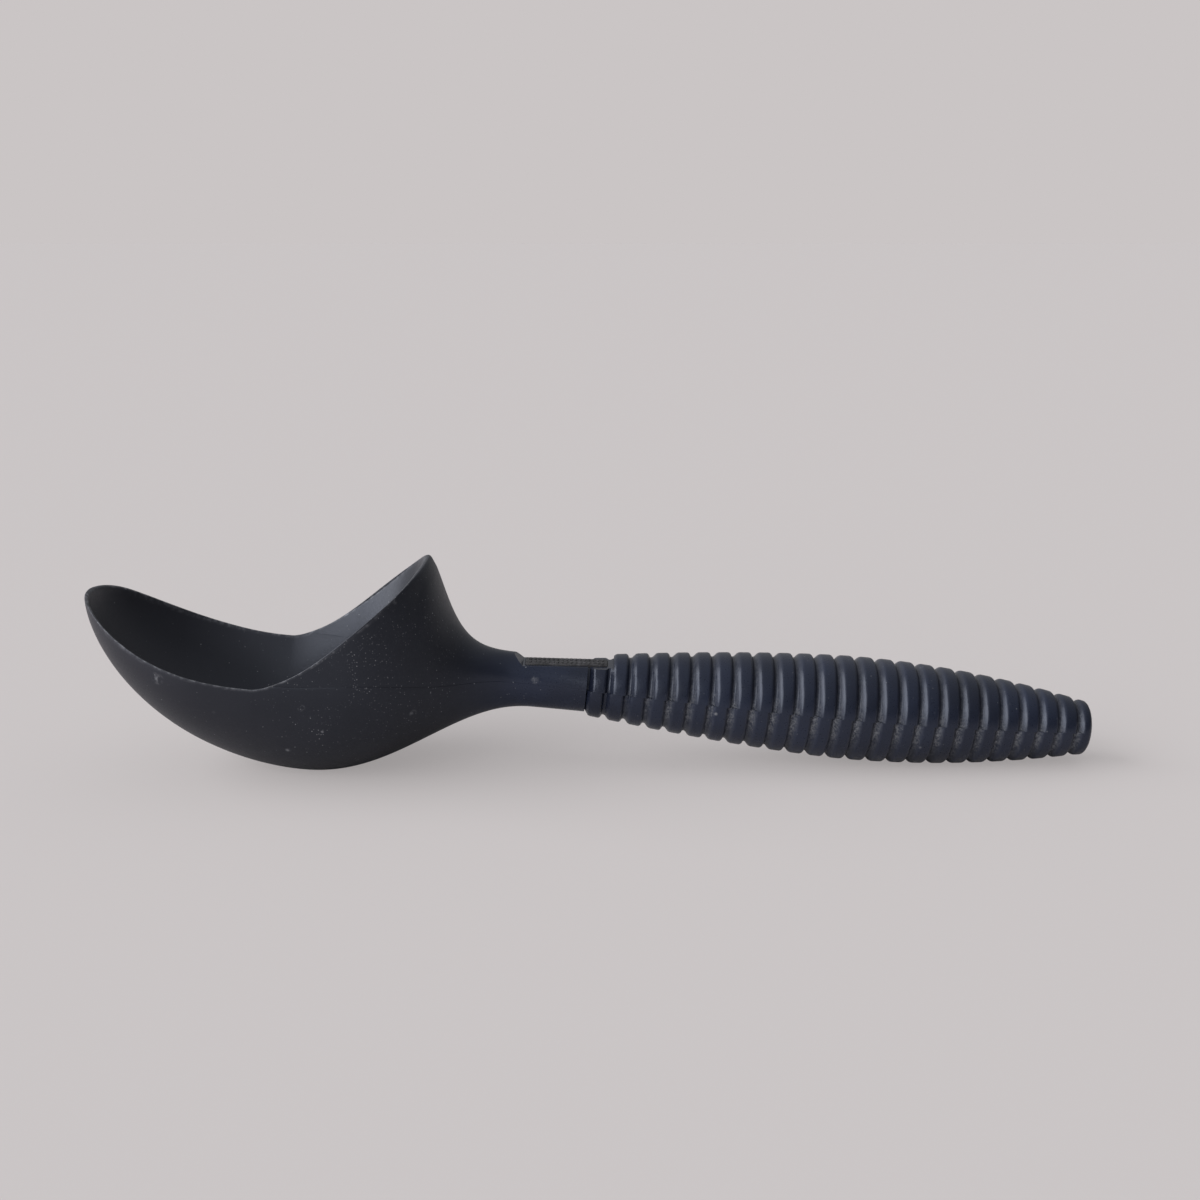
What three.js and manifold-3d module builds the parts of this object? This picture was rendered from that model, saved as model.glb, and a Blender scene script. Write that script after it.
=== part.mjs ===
// Ice cream scoop: two mouldings that meet on one seam, with a steel bar inside the neck.
// Millimetres, +Z up. The scoop lies as it rests on a table, with its butt towards +X.
import * as THREE from 'three';
import { mergeVertices } from 'three/addons/utils/BufferGeometryUtils.js';
import Module from 'manifold-3d';

const wasm = await Module();
wasm.setup();

// Everything is shaped in the mould frame: X runs from the bowl's tip along the handle,
// and Z = 0 is the seam plane. The finished scoop is then tilted until it rests.

// Bowl
const BOWL_LENGTH = 69.4; // tip to the peak of the heel
const BOWL_WIDTH = 41.7; // across the rim
const KEEL_DEPTH = 23.2; // seam down to the round bottom, before the base is cut flat
const BASE_CUT = 0.8; // taken off the round bottom to leave a flat base
const BASE_X = 47.1; // tip to the deepest point
const TIP_RISE = 11.9; // height the rim climbs to at the tip, above the seam
const TIP_DROOP = 0.9; // rounding of the rim, down to the tip
const TIP_ROUND_LENGTH = 5;
const NOSE_LENGTH = 28.4; // rounded nose, in plan
const HEEL_RISE = 23.9; // peak above the seam
const HEEL_ROUND_LENGTH = 16.3; // rounded back of the bowl, in plan
const RIM_LOW_X = 38.5; // tip to the lowest point of the rim
const RIM_DIP = 1.2; // that point, below the seam
const RIM_FLARE = 1; // height above the rim at which the sides would stand upright
const BOWL_WALL = 2.4; // under the bowl
const RIM_EDGE = 1.1; // thickness of the rim along the front
const HEEL_EDGE = 2.2; // thickness of the rim round the heel
const HEEL_WALL = 2.2; // round the hollow in the heel

// Neck and label
const NECK_LENGTH = 35.1; // peak of the heel to the first groove
const NECK_HEIGHT = 11.3;
const NECK_WIDTH = 8.8; // it flares to a round at the first groove
const WAIST_LENGTH = 18.8; // peak of the heel to where the neck's sides run straight
const BACK_FALL = 5.8; // length over which the back of the heel falls to the neck
const BACK_SLOPE = 2.1; // steepness of the heel's crown at the peak
const KEEL_RUN = 46; // deepest point to where the neck's underside runs straight
const AXIS_DROP = 0.47; // axis of the neck and handle, below the seam
const LAND_LENGTH = 19.8; // flat land on top of the neck, up to the second groove
const LAND_HEIGHT = 3.35; // front end of the land, above the seam
const LAND_SLOPE = 0.06; // its rise towards the handle
const LABEL_LENGTH = 17;
const LABEL_WIDTH = 4;
const LABEL_THICKNESS = 0.6;
const LABEL_CLEARANCE = 0.2;

// Ribbed handle
const RIB_COUNT = 25;
const RIB_PITCH = 4.26;
const RIB_STAGGER = 0.5; // lower ribs lie this much nearer to the bowl
const GROOVE_WIDTH = 1.8;
const GROOVE_DEPTH = 0.9;
const GROOVE_FLANK = 0.5; // sloping side of a groove, along the handle
const GRIP_FRONT_DIAMETER = 12.6;
const BELLY_DIAMETER = 21.7;
const BELLY_X = 55.6; // first groove to the widest rib
const BUTT_RIB = 3.1; // last groove to the end
const BUTT_DIAMETER = 10.9;
const BUTT_DOME = 1.3; // rounding of the end, along the handle
const BUTT_FACE = 6; // flat of the end, across
const BUTT_BLOCK = 7; // solid end of the handle
const GRIP_NOSE = 9; // solid front of the handle
const GRIP_WALL = 2; // under the grooves
const WEB_COUNT = 5;
const WEB_THICKNESS = 2;

// Core bar, pegs and fits
const BAR_LENGTH = 112;
const BAR_WIDTH = 4;
const BAR_HEIGHT = 3.5;
const BAR_CLEARANCE = 0.25;
const PEG_DIAMETER = 2.4;
const PEG_LENGTH = 3.5;
const PEG_CLEARANCE = 0.25;
const HEEL_PEG_X = 6; // start of the heel's rounding to the heel's pegs
const BUTT_PEG_X = 4; // butt to the rear peg
const SEAM_GAP = 0.2;
const SEAM_FRONT_X = 44; // tip to where the seam meets the rim

// Powers of the curves
const NOSE_POWER = 2.05;
const NOSE_FALL = 2.15;
const HEEL_CLIMB = 1.5;
const KEEL_REACH = 1.9;
const KEEL_ROOT = 1.55;
const KEEL_RUN_POWER = 1.06;
const WAIST_POWER = 1.35;
const BACK_POWER = 1.38;
const ARCH_POWER = 2.3;
const BOWL_POWER = 2;
const SQUARE_POWER = 40; // so high that the sides stand upright
const GRIP_FRONT_POWER = 1.55;
const GRIP_BACK_POWER = 2;

// Fineness of the meshes
const RING_POINTS = 36;
const HEAD_STATIONS = 44;
const CAVITY_STATIONS = 32;
const GRIP_SIDES = 36;
const RIM_POINTS = 40;
const HOLLOW_STATIONS = 12;
const BUTT_STEPS = 4;
const PEG_SIDES = 20;
const WELD = 1e-4; // corners closer than this are one
const NIL = 1e-9;

const HALF_WIDTH = BOWL_WIDTH / 2;
const TIP_HEIGHT = TIP_RISE - TIP_DROOP;
const NECK_RADIUS = NECK_HEIGHT / 2;
const BASE_DEPTH = KEEL_DEPTH - BASE_CUT;
const HEEL_TURN_X = BOWL_LENGTH - HEEL_ROUND_LENGTH;
const GRIP_START = BOWL_LENGTH + NECK_LENGTH;
const GRIP_LENGTH = (RIB_COUNT - 1) * RIB_PITCH + BUTT_RIB;
const BUTT_X = GRIP_START + GRIP_LENGTH;
const HEAD_END = GRIP_START - GROOVE_WIDTH / 2 + GROOVE_FLANK;
const WAIST_END = BOWL_LENGTH + WAIST_LENGTH;
const FAR = BUTT_X; // large enough to cut right through the scoop

const share = (value, length) => Math.min(Math.max(value / length, 0), 1);
const easeDown = (t) => 0.5 + 0.5 * Math.cos(Math.PI * t);
const roundFall = (t, power) => (1 - t ** power) ** (1 / power);
const noseFall = (t) => (1 - t ** KEEL_REACH) ** (1 / KEEL_ROOT);

// Height of the rim, from the tip over its lowest point to the peak
function rimHeight(x) {
  const toTip = share(RIM_LOW_X - x, RIM_LOW_X);
  const toPeak = share(x - RIM_LOW_X, BOWL_LENGTH - RIM_LOW_X);
  const nose = (TIP_RISE + RIM_DIP) * toTip ** NOSE_FALL;
  const heel = (HEEL_RISE + RIM_DIP) * toPeak ** HEEL_CLIMB;
  const droop = TIP_DROOP * share(TIP_ROUND_LENGTH - x, TIP_ROUND_LENGTH) ** 2;
  return nose + heel - RIM_DIP - droop;
}

// From 1 where the heel starts to turn in, to 0 where it has become the neck
function heelShare(x) {
  return easeDown(share(x - HEEL_TURN_X, WAIST_END - HEEL_TURN_X) ** WAIST_POWER);
}

// Half width of the outside, seen from above
function planHalfWidth(x) {
  const nose = HALF_WIDTH * roundFall(share(NOSE_LENGTH - x, NOSE_LENGTH), NOSE_POWER);
  const neck = NECK_WIDTH / 2;
  const flare = (NECK_RADIUS - neck) * share(x - WAIST_END, HEAD_END - WAIST_END) ** 2;
  return Math.min(nose, neck + flare + (HALF_WIDTH - neck) * heelShare(x));
}

// Underside, from the tip down to the deepest point and up to the neck
function keelHeight(x) {
  if (x < BASE_X) {
    const toTip = share(BASE_X - x, BASE_X);
    return TIP_HEIGHT - (TIP_HEIGHT + KEEL_DEPTH) * noseFall(toTip);
  }
  const neck = NECK_RADIUS + AXIS_DROP;
  const run = share(x - BASE_X, KEEL_RUN);
  return -neck - (KEEL_DEPTH - neck) * easeDown(run ** KEEL_RUN_POWER);
}

// Crown of the heel and neck. Ahead of the peak it only shapes what the rim cuts away.
function crownHeight(x) {
  const neck = NECK_RADIUS - AXIS_DROP;
  const past = x - BOWL_LENGTH;
  if (past < 0) {
    return HEEL_RISE - BACK_SLOPE * past;
  }
  return neck + (HEEL_RISE - neck) * Math.exp(-((past / BACK_FALL) ** BACK_POWER));
}

// Height of the widest line: just above the rim along the nose, and the seam behind it
function widestHeight(x) {
  const flare = rimHeight(x) + RIM_FLARE;
  return x < RIM_LOW_X ? flare : Math.min(flare, 0);
}

// Inside of the bowl, or an outline grown evenly from it
function cavityHalfWidth(x, grow) {
  const [front, back] = [RIM_EDGE - grow, HEEL_EDGE - grow];
  const toTip = share(NOSE_LENGTH - x, NOSE_LENGTH - front);
  const nose = (HALF_WIDTH - front) * roundFall(toTip, NOSE_POWER);
  const toHeel = share(x - HEEL_TURN_X, HEEL_ROUND_LENGTH - back);
  const heel = (HALF_WIDTH - back) * roundFall(toHeel, ARCH_POWER);
  return Math.min(nose, heel);
}

function cavityFloor(x, grow) {
  const depth = BASE_DEPTH - BOWL_WALL + grow;
  if (x < BASE_X) {
    const toTip = share(BASE_X - x, BASE_X - RIM_EDGE + grow);
    return TIP_HEIGHT - (TIP_HEIGHT + depth) * noseFall(toTip);
  }
  const toHeel = share(x - BASE_X, BOWL_LENGTH - HEEL_EDGE + grow - BASE_X);
  return HEEL_RISE - (HEEL_RISE + depth) * roundFall(toHeel, BOWL_POWER);
}

// Half width of the bowl's inside on the seam plane
function cavityAtSeam(x) {
  const rim = rimHeight(x);
  return cavityHalfWidth(x, 0) * roundFall(share(rim, rim - cavityFloor(x, 0)), BOWL_POWER);
}

// Radius over the ribs
function gripRadius(x) {
  const belly = BELLY_DIAMETER / 2;
  const ahead = share(GRIP_START + BELLY_X - x, BELLY_X);
  const behind = share(x - GRIP_START - BELLY_X, GRIP_LENGTH - BELLY_X);
  const front = (belly - GRIP_FRONT_DIAMETER / 2) * ahead ** GRIP_FRONT_POWER;
  const back = (belly - BUTT_DIAMETER / 2) * behind ** GRIP_BACK_POWER;
  return belly - front - back;
}

// A closed section: an upper and a lower half oval on one width
function ovalRing(x, { halfWidth, widest, crown, floor, upperPower, lowerPower }) {
  const ring = [];
  for (let i = 0; i < RING_POINTS; i += 1) {
    const angle = (2 * Math.PI * i) / RING_POINTS;
    const across = Math.abs(Math.cos(angle)) < NIL ? 0 : Math.cos(angle);
    const up = Math.sin(angle);
    const power = 2 / (up < 0 ? lowerPower : upperPower);
    const reach = up < 0 ? widest - floor : crown - widest;
    const y = halfWidth * Math.sign(across) * Math.abs(across) ** power;
    const z = widest + reach * Math.sign(up) * Math.abs(up) ** power;
    ring.push(new THREE.Vector3(x, y, z));
  }
  return ring;
}

// A solid skinned over rings, its ends closed by a fan
function loft(rings) {
  const count = rings[0].length;
  const points = rings.flat();
  const faces = [];
  for (let r = 0; r + 1 < rings.length; r += 1) {
    for (let i = 0; i < count; i += 1) {
      const j = (i + 1) % count;
      const [a, b] = [r * count + i, r * count + j];
      faces.push(a, b, a + count, b, b + count, a + count);
    }
  }
  for (const [r, flip] of [[0, true], [rings.length - 1, false]]) {
    const middle = new THREE.Vector3();
    rings[r].forEach((p) => middle.addScaledVector(p, 1 / count));
    points.push(middle);
    for (let i = 0; i < count; i += 1) {
      const j = (i + 1) % count;
      const edge = flip ? [r * count + j, r * count + i] : [r * count + i, r * count + j];
      faces.push(points.length - 1, ...edge);
    }
  }
  const geometry = new THREE.BufferGeometry().setFromPoints(points);
  geometry.setIndex(faces);
  return geometry;
}

// Stations close together at both ends, where the curves turn fastest
function stations(from, to, count) {
  return Array.from({ length: count }, (_, i) => from + (to - from) * (1 - easeDown(i / (count - 1))));
}

// Booleans
function solid(geometry) {
  const bare = geometry.clone();
  bare.deleteAttribute('normal');
  bare.deleteAttribute('uv');
  const merged = mergeVertices(bare, WELD);
  const index = Array.from(merged.index.array);
  const kept = [];
  for (let i = 0; i < index.length; i += 3) {
    const [a, b, c] = index.slice(i, i + 3);
    if (a !== b && b !== c && c !== a) {
      kept.push(a, b, c);
    }
  }
  const mesh = new wasm.Mesh({
    numProp: 3,
    vertProperties: new Float32Array(merged.attributes.position.array),
    triVerts: new Uint32Array(kept),
  });
  return new wasm.Manifold(mesh);
}

function surface(manifold) {
  const mesh = manifold.getMesh();
  const geometry = new THREE.BufferGeometry();
  geometry.setAttribute('position', new THREE.BufferAttribute(mesh.vertProperties, 3));
  geometry.setIndex(new THREE.BufferAttribute(mesh.triVerts, 1));
  geometry.computeVertexNormals();
  return geometry;
}

// A block between two corners
function block([x0, y0, z0], [x1, y1, z1]) {
  const box = new THREE.BoxGeometry(x1 - x0, y1 - y0, z1 - z0);
  return box.translate((x0 + x1) / 2, (y0 + y1) / 2, (z0 + z1) / 2);
}

// A block with its top face centre on a point of the XZ plane, turned about Y
function turnedBlock(length, width, depth, x, z, turn) {
  const box = new THREE.BoxGeometry(length, width, depth).translate(0, 0, -depth / 2);
  return box.rotateY(turn).translate(x, 0, z);
}

function upright(diameter, x, y, z0, z1) {
  const post = new THREE.CylinderGeometry(diameter / 2, diameter / 2, z1 - z0, PEG_SIDES);
  return post.rotateX(Math.PI / 2).translate(x, y, (z0 + z1) / 2);
}

// Outside of the bowl, heel and neck, or the same set in from the sides, crown and back
function headShape(from, to, count, inset) {
  return loft(stations(from, to, count).map((x) => ovalRing(x, {
    halfWidth: planHalfWidth(x + inset) - inset,
    widest: widestHeight(x),
    crown: crownHeight(x + inset) - inset,
    floor: keelHeight(x) + inset,
    upperPower: BOWL_POWER + (ARCH_POWER - BOWL_POWER) * heelShare(x),
    lowerPower: BOWL_POWER,
  })));
}

// The bowl's inside, hanging from the rim and open above it
function cavityShape(grow) {
  const ends = stations(RIM_EDGE - grow, BOWL_LENGTH - HEEL_EDGE + grow, CAVITY_STATIONS);
  return loft(ends.map((x) => ovalRing(x, {
    halfWidth: cavityHalfWidth(x, grow),
    widest: rimHeight(x) + RIM_FLARE,
    crown: rimHeight(x) + FAR,
    floor: cavityFloor(x, grow),
    upperPower: SQUARE_POWER,
    lowerPower: BOWL_POWER,
  })));
}

// Everything above the rim, up to the peak
function aboveRim() {
  const outline = new THREE.Shape();
  outline.moveTo(-BOWL_LENGTH, rimHeight(0));
  for (let i = 0; i <= RIM_POINTS; i += 1) {
    const x = (BOWL_LENGTH * i) / RIM_POINTS;
    outline.lineTo(x, rimHeight(x));
  }
  outline.lineTo(BOWL_LENGTH, FAR);
  outline.lineTo(-BOWL_LENGTH, FAR);
  const slab = new THREE.ExtrudeGeometry(outline, { depth: 2 * BOWL_WIDTH, bevelEnabled: false });
  return slab.translate(0, 0, -BOWL_WIDTH).rotateX(Math.PI / 2);
}

// Outline of the ribbed handle as radius and distance, from inside the neck to the butt
function gripProfile(stagger) {
  const profile = [];
  const at = (x, depth) => profile.push(new THREE.Vector2(gripRadius(x) - depth, x - stagger));
  const core = NECK_WIDTH / 2 - GROOVE_DEPTH;
  const root = HEAD_END - NECK_HEIGHT; // reaches back into the neck
  profile.push(new THREE.Vector2(0, root));
  profile.push(new THREE.Vector2(core, root));
  for (let rib = 0; rib < RIB_COUNT; rib += 1) {
    const middle = GRIP_START + rib * RIB_PITCH;
    if (rib > 0) {
      at(middle - GROOVE_WIDTH / 2, 0);
    }
    at(middle - GROOVE_WIDTH / 2 + GROOVE_FLANK, GROOVE_DEPTH);
    at(middle + GROOVE_WIDTH / 2 - GROOVE_FLANK, GROOVE_DEPTH);
    at(middle + GROOVE_WIDTH / 2, 0);
  }
  const rim = BUTT_X - BUTT_DOME;
  const face = BUTT_FACE / 2;
  for (let step = 0; step <= BUTT_STEPS; step += 1) {
    const turn = (Math.PI / 2) * (step / BUTT_STEPS);
    const out = face + (gripRadius(rim) - face) * Math.cos(turn);
    profile.push(new THREE.Vector2(out, rim + BUTT_DOME * Math.sin(turn)));
  }
  profile.push(new THREE.Vector2(0, BUTT_X));
  return profile;
}

function gripShape(stagger) {
  const lathe = new THREE.LatheGeometry(gripProfile(stagger), GRIP_SIDES);
  return lathe.rotateZ(-Math.PI / 2).translate(0, 0, -AXIS_DROP);
}

// Hollow of the handle, with webs left standing across it
function gripHollow() {
  const from = GRIP_START + GRIP_NOSE;
  const to = BUTT_X - BUTT_BLOCK;
  const profile = [new THREE.Vector2(0, from)];
  for (const x of stations(from, to, HOLLOW_STATIONS)) {
    profile.push(new THREE.Vector2(gripRadius(x) - GROOVE_DEPTH - GRIP_WALL, x));
  }
  profile.push(new THREE.Vector2(0, to));
  const lathe = new THREE.LatheGeometry(profile, GRIP_SIDES / 2);
  let hollow = solid(lathe.rotateZ(-Math.PI / 2).translate(0, 0, -AXIS_DROP));
  for (let i = 1; i <= WEB_COUNT; i += 1) {
    const x = from + ((to - from) * i) / (WEB_COUNT + 1);
    const half = WEB_THICKNESS / 2;
    const web = block([x - half, -FAR, -FAR], [x + half, FAR, FAR]);
    hollow = hollow.subtract(solid(web));
  }
  return hollow;
}

// Hollow of the heel above the seam, behind the bowl's wall and parted by a web
function heelHollow() {
  const inside = solid(headShape(HEEL_TURN_X, WAIST_END, HEAD_STATIONS, HEEL_WALL));
  const behindWall = block(
    [HEEL_TURN_X + HEEL_PEG_X + PEG_DIAMETER, -BOWL_WIDTH, -SEAM_GAP],
    [GRIP_START - LAND_LENGTH, BOWL_WIDTH, FAR],
  );
  const web = block([0, -WEB_THICKNESS / 2, -FAR], [FAR, WEB_THICKNESS / 2, FAR]);
  const bowl = solid(cavityShape(HEEL_WALL));
  return inside.intersect(solid(behindWall)).subtract(bowl).subtract(solid(web));
}

const gripLower = gripProfile(RIB_STAGGER);
const TILT = Math.atan(Math.min(...gripLower.slice(2).map(
  (p) => (BASE_DEPTH - AXIS_DROP - p.x) / (p.y - BASE_X),
)));

// Fits that both mouldings share
const barX = BOWL_LENGTH + BAR_LENGTH / 2;
const barSlot = solid(new THREE.BoxGeometry(
  BAR_LENGTH + 2 * BAR_CLEARANCE, BAR_WIDTH + 2 * BAR_CLEARANCE, BAR_HEIGHT + 2 * BAR_CLEARANCE,
).translate(barX, 0, -AXIS_DROP));
const heelPegX = HEEL_TURN_X + HEEL_PEG_X;
const heelPegY = (planHalfWidth(heelPegX) + cavityAtSeam(heelPegX)) / 2;
const pegs = [[heelPegX, -heelPegY], [heelPegX, heelPegY], [BUTT_X - BUTT_PEG_X, 0]];

// Land and label on the neck
const landTurn = -Math.atan(LAND_SLOPE);
const landEnd = GRIP_START + RIB_PITCH;
const landX = landEnd - LAND_LENGTH / 2;
const landZ = LAND_HEIGHT + (LAND_SLOPE * LAND_LENGTH) / 2;

function landCut() {
  const air = new THREE.BoxGeometry(LAND_LENGTH, NECK_HEIGHT * 2, NECK_HEIGHT);
  return air.translate(0, 0, NECK_HEIGHT / 2).rotateY(landTurn).translate(landX, 0, landZ);
}

function labelPocket() {
  const gap = 2 * LABEL_CLEARANCE;
  const depth = LABEL_THICKNESS + LABEL_CLEARANCE;
  const pocket = turnedBlock(LABEL_LENGTH + gap, LABEL_WIDTH + gap, 2 * depth, 0, depth, 0);
  return pocket.rotateY(landTurn).translate(landX, 0, landZ);
}

// The bowl and neck in one, before the seam parts them
const head = solid(headShape(0, HEAD_END, HEAD_STATIONS, 0))
  .subtract(solid(aboveRim()))
  .subtract(solid(cavityShape(0)));
const restPlane = turnedBlock(2 * FAR, 2 * BOWL_WIDTH, KEEL_DEPTH, BASE_X, -BASE_DEPTH, -TILT);

function lowerMoulding() {
  const gap = SEAM_GAP / 2;
  const above = block([SEAM_FRONT_X - gap, -BOWL_WIDTH, -gap], [2 * FAR, BOWL_WIDTH, FAR]);
  let body = head.subtract(solid(restPlane)).add(solid(gripShape(RIB_STAGGER)));
  body = body.subtract(solid(above)).subtract(gripHollow()).subtract(barSlot);
  for (const [x, y] of pegs) {
    const deep = -PEG_LENGTH - PEG_CLEARANCE;
    body = body.subtract(solid(upright(PEG_DIAMETER + 2 * PEG_CLEARANCE, x, y, deep, PEG_LENGTH)));
  }
  return body;
}

function upperMoulding() {
  const gap = SEAM_GAP / 2;
  const half = block([SEAM_FRONT_X + gap, -BOWL_WIDTH, gap], [2 * FAR, BOWL_WIDTH, FAR]);
  let body = head.add(solid(gripShape(0))).intersect(solid(half));
  body = body.subtract(solid(landCut())).subtract(solid(labelPocket()));
  body = body.subtract(heelHollow()).subtract(gripHollow()).subtract(barSlot);
  for (const [x, y] of pegs) {
    body = body.add(solid(upright(PEG_DIAMETER, x, y, -PEG_LENGTH, SEAM_GAP)));
  }
  return body;
}

// Materials
const bowlPlastic = new THREE.MeshStandardMaterial({ color: 0x26282b, roughness: 0.55, metalness: 0 });
const gripPlastic = new THREE.MeshStandardMaterial({ color: 0x2b303a, roughness: 0.5, metalness: 0 });
const coreSteel = new THREE.MeshStandardMaterial({ color: 0x9a9da0, roughness: 0.35, metalness: 1 });
const labelGrey = new THREE.MeshStandardMaterial({ color: 0x4a4d52, roughness: 0.7, metalness: 0 });

function piece(name, geometry, material) {
  const mesh = new THREE.Mesh(geometry, material);
  mesh.name = name;
  return mesh;
}

const bar = piece('core_bar', new THREE.BoxGeometry(BAR_LENGTH, BAR_WIDTH, BAR_HEIGHT), coreSteel);
bar.position.set(barX, 0, -AXIS_DROP);
const label = piece(
  'label_plate', turnedBlock(LABEL_LENGTH, LABEL_WIDTH, LABEL_THICKNESS, 0, 0, 0), labelGrey);
label.position.set(landX, 0, landZ);
label.rotation.y = landTurn;

const scoop = new THREE.Group();
scoop.add(piece('lower_moulding', surface(lowerMoulding()), bowlPlastic));
scoop.add(piece('upper_moulding', surface(upperMoulding()), gripPlastic));
scoop.add(bar, label);

// At rest: the bowl's flat base and the handle's belly both touch the table
scoop.rotation.y = TILT;
const placed = new THREE.Group().add(scoop);
const box = new THREE.Box3().setFromObject(placed, true);
placed.position.set(-(box.min.x + box.max.x) / 2, 0, -box.min.z);

export default placed;
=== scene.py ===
# %% [markdown]
# # Ice cream scoop
# A dark plastic scoop with a deep bowl, a pointed heel, a slim neck and a ribbed handle.
# The imported CAD parts give the place and size of everything, so they are loaded first.

import math

import bpy
import numpy as np
from mathutils import Matrix, Vector


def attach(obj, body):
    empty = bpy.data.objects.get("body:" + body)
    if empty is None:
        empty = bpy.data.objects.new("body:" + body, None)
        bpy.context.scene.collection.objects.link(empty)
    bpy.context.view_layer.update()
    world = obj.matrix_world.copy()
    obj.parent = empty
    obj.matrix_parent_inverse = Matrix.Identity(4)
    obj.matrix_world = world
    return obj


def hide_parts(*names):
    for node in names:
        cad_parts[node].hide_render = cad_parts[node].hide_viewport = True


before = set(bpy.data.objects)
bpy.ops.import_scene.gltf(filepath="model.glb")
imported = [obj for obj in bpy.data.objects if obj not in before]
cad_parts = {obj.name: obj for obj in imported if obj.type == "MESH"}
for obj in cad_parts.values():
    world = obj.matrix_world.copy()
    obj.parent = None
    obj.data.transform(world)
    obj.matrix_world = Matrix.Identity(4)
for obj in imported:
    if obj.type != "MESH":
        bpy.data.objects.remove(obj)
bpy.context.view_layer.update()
scene = bpy.context.scene
scene.view_settings.view_transform = "Standard"

# %% [markdown]
# ## Camera
# The photograph looks down a little from the near side. The camera's height, tilt and lens
# were worked out from the handle's rings and the rim, and are simply written down here.

# %% Camera
MM = 0.001
CAMERA_PLACE = (1.4 * MM, -301.24 * MM, 108.25 * MM)
CAMERA_DOWN = math.radians(13.672)
LENS = 45.015
SENSOR = 36
NEAREST_SEEN = 0.01

bpy.ops.object.camera_add(location=CAMERA_PLACE, rotation=(math.pi / 2 - CAMERA_DOWN, 0, 0))
camera = bpy.context.object
camera.data.lens = LENS
camera.data.sensor_width = SENSOR
camera.data.clip_start = NEAREST_SEEN
scene.camera = camera
print("camera at", tuple(camera.location), "lens", LENS)

# %% [markdown]
# ## Curves of the head
# A moulder would draw the bowl with a few master curves: the rim seen from the side, the
# outline seen from above, the keel below and the crown above. Pushing points about by eye
# can't hit such curves, so they are written as short functions in millimetres. X runs from
# the bowl's tip along the handle, and Z = 0 is the seam where the two mouldings meet.

# %% Sizes of the head
BOWL_LENGTH = 69.4
HALF_WIDTH = 20.85
KEEL_DEPTH = 23.2
BASE_CUT = 0.8
BASE_X = 47.1
TIP_RISE = 11.9
TIP_DROOP = 0.9
TIP_ROUND_LENGTH = 5
TIP_HEIGHT = TIP_RISE - TIP_DROOP
NOSE_LENGTH = 28.4
HEEL_RISE = 23.9
HEEL_ROUND_LENGTH = 16.3
HEEL_TURN_X = BOWL_LENGTH - HEEL_ROUND_LENGTH
RIM_LOW_X = 38.5
RIM_DIP = 1.2
RIM_FLARE = 1
LIP_BLEND = 18
BOWL_WALL = 2.4
RIM_EDGE = 1.1
HEEL_EDGE = 2.2
NECK_WIDTH = 8.8
NECK_RADIUS = 5.65
WAIST_END = BOWL_LENGTH + 18.8
GRIP_START = BOWL_LENGTH + 35.1
GROOVE_WIDTH = 1.8
GROOVE_FLANK = 0.5
HEAD_END = GRIP_START - GROOVE_WIDTH / 2 + GROOVE_FLANK
HEEL_CLIMB = 1.5
HEEL_EASE = 1.35
BACK_FALL = 6
BACK_POWER = 1.5
BACK_SLOPE = 2.1
KEEL_RUN = 46
KEEL_EASE = 1.06
AXIS_DROP = 0.47
NOSE_POWER = 2.05
NOSE_FALL = 2.15
KEEL_REACH = 1.9
KEEL_ROOT = 1.55
ARCH_POWER = 2.3
print("bowl", BOWL_LENGTH, "mm long and", 2 * HALF_WIDTH, "mm wide, neck", NECK_WIDTH, "mm wide")


# %% Outside curves
def share(value, length):
    return np.clip(value / length, 0, 1)


def ease_down(t):
    return 0.5 + 0.5 * np.cos(np.pi * t)


def round_fall(t, power):
    return (1 - t**power) ** (1 / power)


def nose_fall(t):
    return (1 - t**KEEL_REACH) ** (1 / KEEL_ROOT)


def rim_height(x):
    nose = (TIP_RISE + RIM_DIP) * share(RIM_LOW_X - x, RIM_LOW_X) ** NOSE_FALL
    heel = (HEEL_RISE + RIM_DIP) * share(x - RIM_LOW_X, BOWL_LENGTH - RIM_LOW_X) ** HEEL_CLIMB
    droop = TIP_DROOP * share(TIP_ROUND_LENGTH - x, TIP_ROUND_LENGTH) ** 2
    return nose + heel - RIM_DIP - droop


def heel_share(x):
    return ease_down(share(x - HEEL_TURN_X, WAIST_END - HEEL_TURN_X) ** HEEL_EASE)


def arch_power(x):
    return 2 + (ARCH_POWER - 2) * float(heel_share(x))


def plan_half_width(x):
    nose = HALF_WIDTH * round_fall(share(NOSE_LENGTH - x, NOSE_LENGTH), NOSE_POWER)
    neck = NECK_WIDTH / 2
    flare = (NECK_RADIUS - neck) * share(x - WAIST_END, HEAD_END - WAIST_END) ** 2
    return np.minimum(nose, neck + flare + (HALF_WIDTH - neck) * heel_share(x))


def keel_height(x):
    neck = NECK_RADIUS + AXIS_DROP
    front = TIP_HEIGHT - (TIP_HEIGHT + KEEL_DEPTH) * nose_fall(share(BASE_X - x, BASE_X))
    back = -neck - (KEEL_DEPTH - neck) * ease_down(share(x - BASE_X, KEEL_RUN) ** KEEL_EASE)
    return np.where(x < BASE_X, front, back)


def crown_height(x):
    neck = NECK_RADIUS - AXIS_DROP
    past = np.maximum(x - BOWL_LENGTH, 0)
    back = neck + (HEEL_RISE - neck) * np.exp(-((past / BACK_FALL) ** BACK_POWER))
    return np.where(x < BOWL_LENGTH, HEEL_RISE - BACK_SLOPE * (x - BOWL_LENGTH), back)


def widest_height(x):
    flare = rim_height(x) + RIM_FLARE
    return np.where(x < RIM_LOW_X, flare, np.minimum(flare, 0))


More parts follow.
